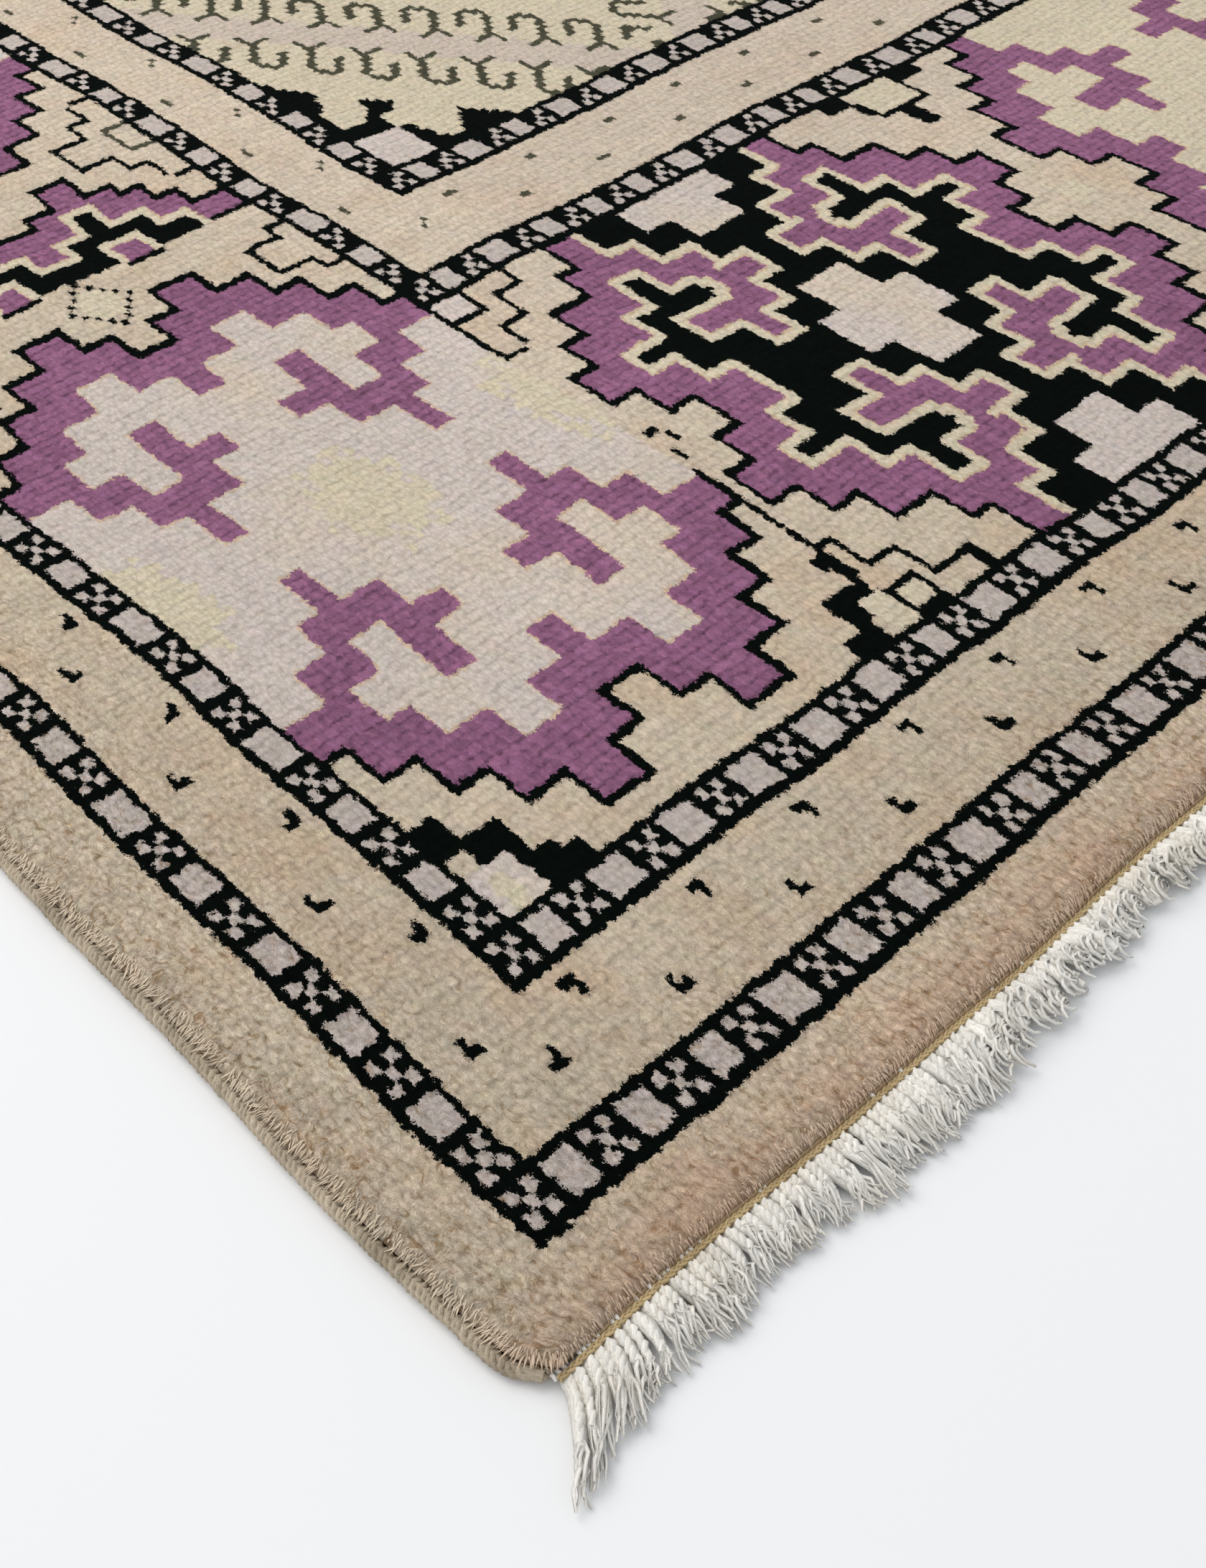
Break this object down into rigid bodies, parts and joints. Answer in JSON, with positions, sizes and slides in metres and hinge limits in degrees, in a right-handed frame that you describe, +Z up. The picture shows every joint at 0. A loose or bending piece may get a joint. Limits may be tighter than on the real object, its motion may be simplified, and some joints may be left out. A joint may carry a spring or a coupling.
{
  "type": "hand-knotted turkish rug",
  "caption": "Flat hand-knotted wool pile rug with overcast side edges, chain-stitched ends and a short cotton fringe at each end.",
  "frame": {"origin": "middle of the underside of the rug as it lies flat", "axes": "+Z up out of the pile, +Y along the rug's length and its warps, +X across the rug along its knot rows"},
  "size_m": [1.5136, 2.3282, 0.009],
  "materials": {
    "wool_pile": "short cut wool pile, matt, in beige, purple, ivory and black",
    "selvedge_wool": "overcast tan wool, matt",
    "chain_stitch": "yellow-tan chain-stitch thread over bare cotton warps, matt",
    "fringe_cotton": "undyed plied cotton yarn, frayed, matt"
  },
  "bodies": {
    "root": {"pile_body": "wool_pile", "selvedge_left": "selvedge_wool", "selvedge_right": "selvedge_wool", "end_finish_near": "chain_stitch", "end_finish_far": "chain_stitch", "fringe_near": "fringe_cotton", "fringe_far": "fringe_cotton"}
  },
  "joints": []
}
